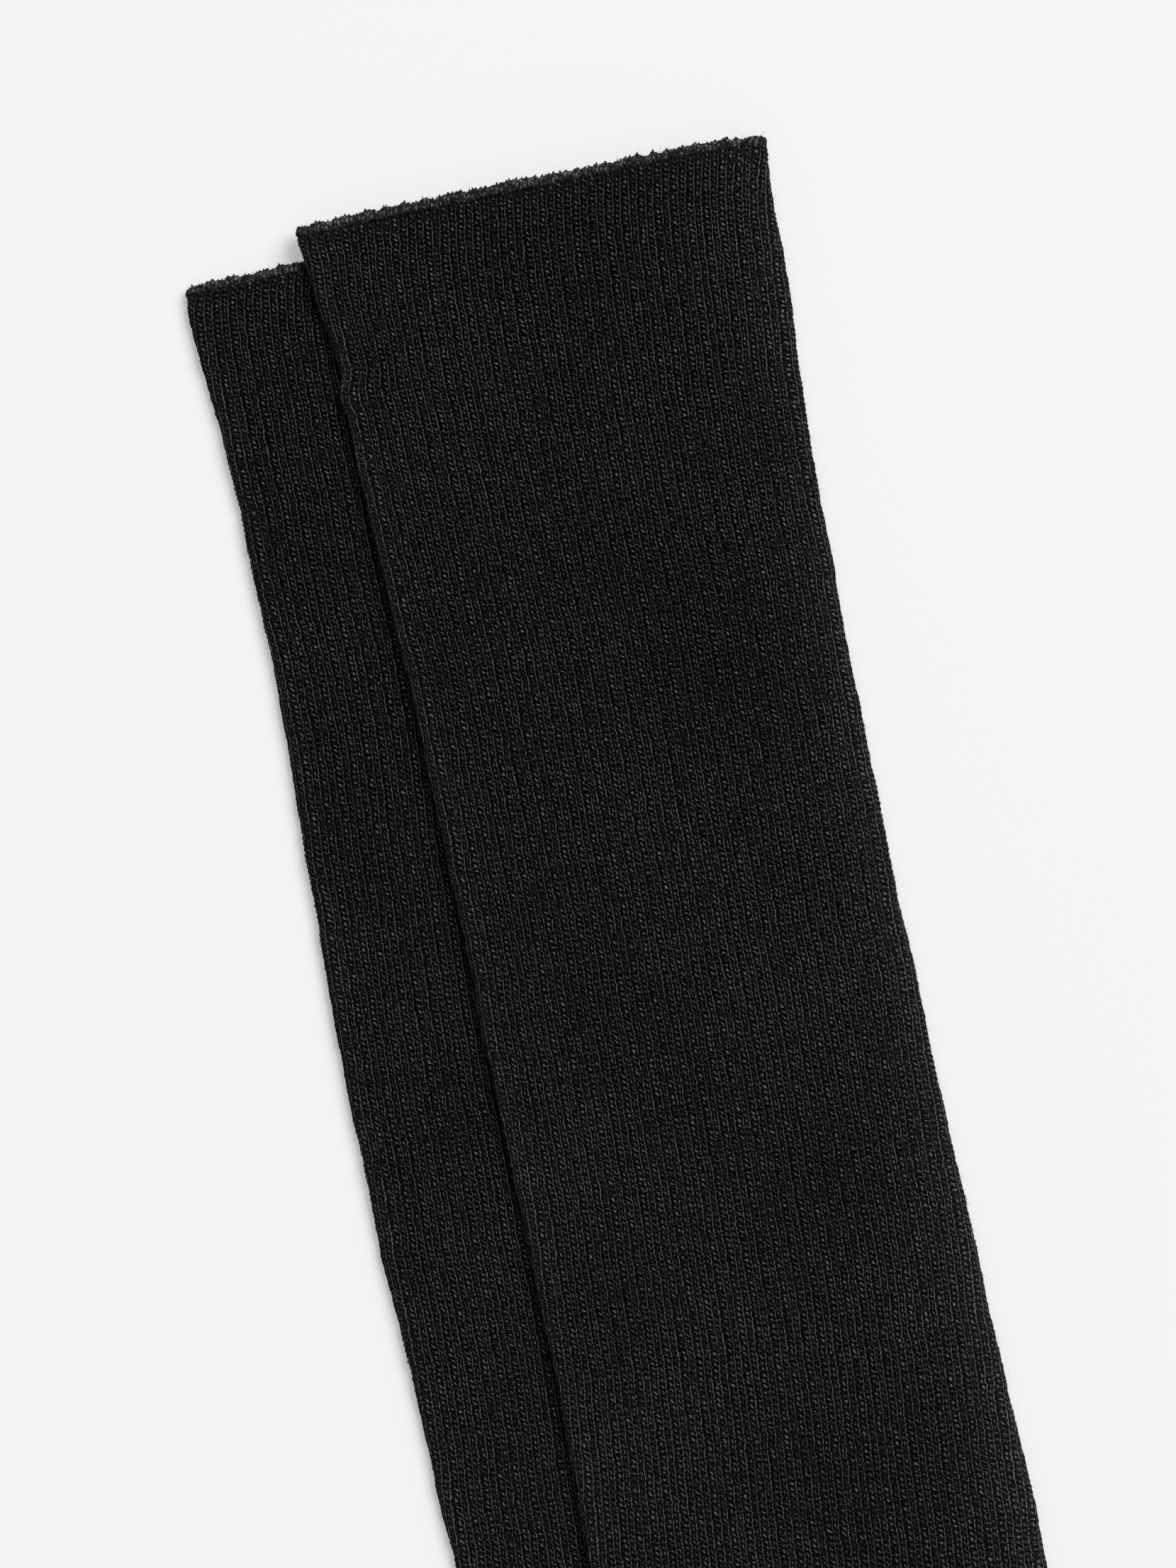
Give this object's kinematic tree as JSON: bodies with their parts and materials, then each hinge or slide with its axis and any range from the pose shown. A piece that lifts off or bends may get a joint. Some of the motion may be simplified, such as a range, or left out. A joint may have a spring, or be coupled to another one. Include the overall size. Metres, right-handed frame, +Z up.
{
  "type": "pair of knee socks laid flat",
  "caption": "Pair of long plain knitted socks laid flat, one over the other, with open cuffs, turned heels and closed toes; a garment to set on a shelf, bed or table.",
  "frame": {"origin": "middle of the pair's footprint, on the surface that it lies on", "axes": "+Y up the legs towards the cuffs, +X towards the shins and toes, +Z up out of the surface"},
  "size_m": [0.253, 0.5022, 0.0064],
  "materials": {
    "wool_knit": "matt, slightly hairy fine knit"
  },
  "bodies": {
    "root": {"lower_sock": "wool_knit", "upper_sock": "wool_knit"}
  },
  "joints": []
}
